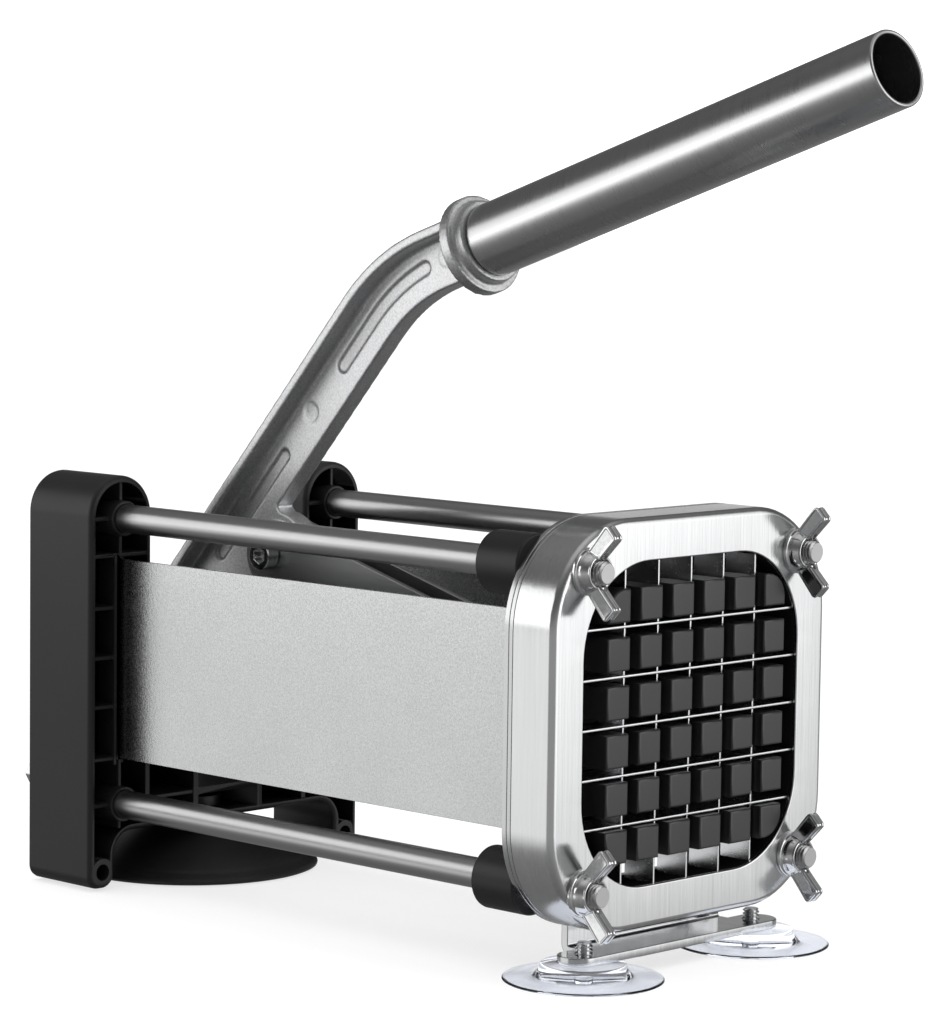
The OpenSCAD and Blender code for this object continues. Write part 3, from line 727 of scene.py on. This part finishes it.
# ------------------------------------------------------------------ lever
bm = cad_bm("handle_casting")
me = voxelize(bm, 0.42, 4, 0.35)
mesh_to_world(me)
finish_mesh("handle_casting_body", me, "handle_casting", sharp=0, weighted=False)

td = Vector((0, -math.cos(math.radians(18.3)), math.sin(math.radians(18.3))))
tn = Vector((0, math.sin(math.radians(18.3)), math.cos(math.radians(18.3))))
bm = bmesh.new()


def tube_place(x, y, h):
    return Vector((x, 73, 121.1)) + tn * y + td * h


prof = [(8.85, 0.35), (9.75, 0.35), (10.0, 0.6), (10.0, 30), (10.0, 80), (10.0, 142.55), (9.86, 142.85), (9.6, 143.0), (9.1, 143.0), (8.85, 142.8), (8.8, 142.5), (8.8, 60)]
lathe(bm, prof, tube_place, 96, closed=True)
bmesh.ops.recalc_face_normals(bm, faces=bm.faces)
to_world(bm)
finish_piece("handle_tube_bar", bm, "handle_tube", sharp=50)

from_cad("link_left", 0.25, 2)
from_cad("link_right", 0.25, 2)
from_cad("link_nut", 0.35, 2)
from_cad("link_bolt", 0.3, 2)

# ------------------------------------------------------------------ pusher
bm = cad_bm("pusher_block")
bevel(bm, sharp_edges(bm, 30, lambda e: all(v.co.y < 16 for v in e.verts)), 0.6, 3)
bevel(bm, sharp_edges(bm, 40, lambda e: all(v.co.y > 16.5 for v in e.verts)), 0.3, 1)
to_world(bm)
finish_piece("pusher_block_moulding", bm, "pusher_block")

# ------------------------------------------------------------------ studio
scene = bpy.context.scene
scene.view_settings.view_transform = "Standard"
scene.view_settings.look = "None"


def stage_mesh(name, bm, mat):
    me = bpy.data.meshes.new(name)
    bm.to_mesh(me)
    bm.free()
    o = bpy.data.objects.new(name, me)
    scene.collection.objects.link(o)
    o.data.materials.append(mat)
    return o


# pale floor, seen by the camera and by diffuse light; metals see the studio light instead
kf = Mat("m_floor")
kf.to(Base_Color=kf.mix(kf.noise(kf.mapping(), 3, 2, 0.5), (0.29, 0.29, 0.29), (0.31, 0.31, 0.31)))
kf.set(Roughness=0.95)
kf.b.inputs["Emission Color"].default_value = (1, 1, 1, 1)
kf.b.inputs["Emission Strength"].default_value = 0.72
bm = bmesh.new()
K = 96
rings = [[bm.verts.new((r * math.cos(2 * math.pi * i / K), r * math.sin(2 * math.pi * i / K), -0.0003)) for i in range(K)] for r in (0.4, 1.5, 9.0)]
c0 = bm.verts.new((0, 0, -0.0003))
for i in range(K):
    bm.faces.new((c0, rings[0][i], rings[0][(i + 1) % K]))
for a, b in zip(rings, rings[1:]):
    bridge(bm, a, b)
floor = stage_mesh("floor", bm, kf.m)
floor.visible_glossy = False

# plain white surround far behind, all the way round, that only the camera sees
kb = Mat("m_surround")
kb.set(Roughness=1.0)
kb.b.inputs["Emission Color"].default_value = (1, 1, 1, 1)
kb.b.inputs["Emission Strength"].default_value = 1.0
kb.to(Base_Color=kb.mix(kb.noise(kb.mapping(), 2, 2, 0.5), (0.80, 0.80, 0.80), (0.82, 0.82, 0.82)))
bm = bmesh.new()
lo = [bm.verts.new((8.9 * math.cos(2 * math.pi * i / K), 8.9 * math.sin(2 * math.pi * i / K), -0.02)) for i in range(K)]
hi = [bm.verts.new((8.9 * math.cos(2 * math.pi * i / K), 8.9 * math.sin(2 * math.pi * i / K), 7.0)) for i in range(K)]
bridge(bm, lo, hi)
wall = stage_mesh("surround", bm, kb.m)
wall.visible_glossy = False
wall.visible_diffuse = False
wall.visible_transmission = True
wall.visible_shadow = False

# azimuth, elevation, half width, half height, edge softness across and upright (degrees), strength
SOFTBOXES = [
    (-50, -9, 26, 8.5, 14, 14, 0.68),
    (150, 14, 24, 24.5, 24, 14, 1.6),
    (46, 3, 14, 8, 12, 12, 0.4),
]

# soft light from all round: a dim room with large soft boxes
world = bpy.data.worlds.new("world")
scene.world = world
world.use_nodes = True
wt = world.node_tree
bg = wt.nodes["Background"]
tc = wt.nodes.new("ShaderNodeTexCoord")


def wmath(op, a, b=None):
    n = wt.nodes.new("ShaderNodeMath")
    n.operation = op
    for i, v in enumerate((a, b)):
        if v is None:
            continue
        if isinstance(v, (int, float)):
            n.inputs[i].default_value = v
        else:
            wt.links.new(v, n.inputs[i])
    return n.outputs[0]


def direction(az_deg, el_deg):
    a, e = math.radians(az_deg), math.radians(el_deg)
    return (math.sin(a) * math.cos(e), math.cos(a) * math.cos(e), math.sin(e))


def along(az_deg, el_deg):
    n = wt.nodes.new("ShaderNodeVectorMath")
    n.operation = "DOT_PRODUCT"
    wt.links.new(tc.outputs["Generated"], n.inputs[0])
    n.inputs[1].default_value = direction(az_deg, el_deg)
    return n.outputs["Value"]


def smooth(v, a, b):
    n = wt.nodes.new("ShaderNodeMapRange")
    n.interpolation_type = "SMOOTHSTEP"
    n.inputs["From Min"].default_value = a
    n.inputs["From Max"].default_value = b
    wt.links.new(v, n.inputs["Value"])
    return n.outputs["Result"]


def softbox(az_deg, el_deg, half_w, half_h, soft, soft_v, power):
    """A soft rectangle of light, given by angles; soft is the width of its edge in degrees."""
    f = Vector(direction(az_deg, el_deg))
    side = Vector((f.y, -f.x, 0)).normalized()
    upv = side.cross(f)
    ax, ay = [], []

    def comp(vec):
        n = wt.nodes.new("ShaderNodeVectorMath")
        n.operation = "DOT_PRODUCT"
        wt.links.new(tc.outputs["Generated"], n.inputs[0])
        n.inputs[1].default_value = vec
        return n.outputs["Value"]

    d = comp(f)
    u = wmath("ARCTAN2", comp(side), d)
    v = wmath("ARCTAN2", comp(upv), d)
    r = math.radians
    wu = smooth(wmath("ABSOLUTE", u), r(half_w + soft / 2), r(half_w - soft / 2))
    wv = smooth(wmath("ABSOLUTE", v), r(half_h + soft_v / 2), r(half_h - soft_v / 2))
    front = smooth(d, 0.0, 0.15)
    return wmath("MULTIPLY", wmath("MULTIPLY", wmath("MULTIPLY", wu, wv), front), power)


sepw = wt.nodes.new("ShaderNodeSeparateXYZ")
wt.links.new(tc.outputs["Generated"], sepw.inputs[0])
base = wt.nodes.new("ShaderNodeMapRange")
base.inputs["From Min"].default_value = -1
base.inputs["From Max"].default_value = 1
wt.links.new(sepw.outputs["Z"], base.inputs["Value"])
wr = wt.nodes.new("ShaderNodeValToRGB")
els = wr.color_ramp.elements
stops = [(0.0, 0.13), (0.25, 0.22), (0.42, 0.36), (0.50, 0.30), (0.60, 0.14), (0.75, 0.10), (0.88, 0.20), (1.0, 0.55)]
while len(els) < len(stops):
    els.new(0.5)
for e, (q, c) in zip(els, stops):
    e.position = q
    e.color = (c, c, c, 1)
wt.links.new(base.outputs["Result"], wr.inputs["Fac"])
total = wr.outputs["Color"]
bw = wt.nodes.new("ShaderNodeRGBToBW")
wt.links.new(total, bw.inputs[0])
total = bw.outputs[0]
for box in SOFTBOXES:
    total = wmath("ADD", total, softbox(*box))
comb = wt.nodes.new("ShaderNodeCombineColor")
for i in range(3):
    wt.links.new(total, comb.inputs[i])
wt.links.new(comb.outputs[0], bg.inputs["Color"])
bg.inputs["Strength"].default_value = 1.0


def area(name, loc, target, sx, sy, power, spread=180, glossy=True):
    ld = bpy.data.lights.new(name, "AREA")
    ld.shape = "RECTANGLE"
    ld.size, ld.size_y = sx, sy
    ld.energy = power
    ld.spread = math.radians(spread)
    o = bpy.data.objects.new(name, ld)
    scene.collection.objects.link(o)
    o.location = loc
    o.rotation_mode = "QUATERNION"
    o.rotation_quaternion = (Vector(target) - Vector(loc)).to_track_quat("-Z", "Y")
    o.visible_glossy = glossy
    return o


# soft box close on the left, and an even light from above that keeps the floor white
key = area("key_left", (-0.34, 0.26, 0.21), (-0.03, 0.02, 0.10), 0.5, 0.24, 0.51)
key.visible_camera = False
sd = bpy.data.lights.new("top", "SUN")
sd.energy = 3.2
sd.angle = math.radians(100)
sun = bpy.data.objects.new("top", sd)
scene.collection.objects.link(sun)
sun.visible_glossy = False
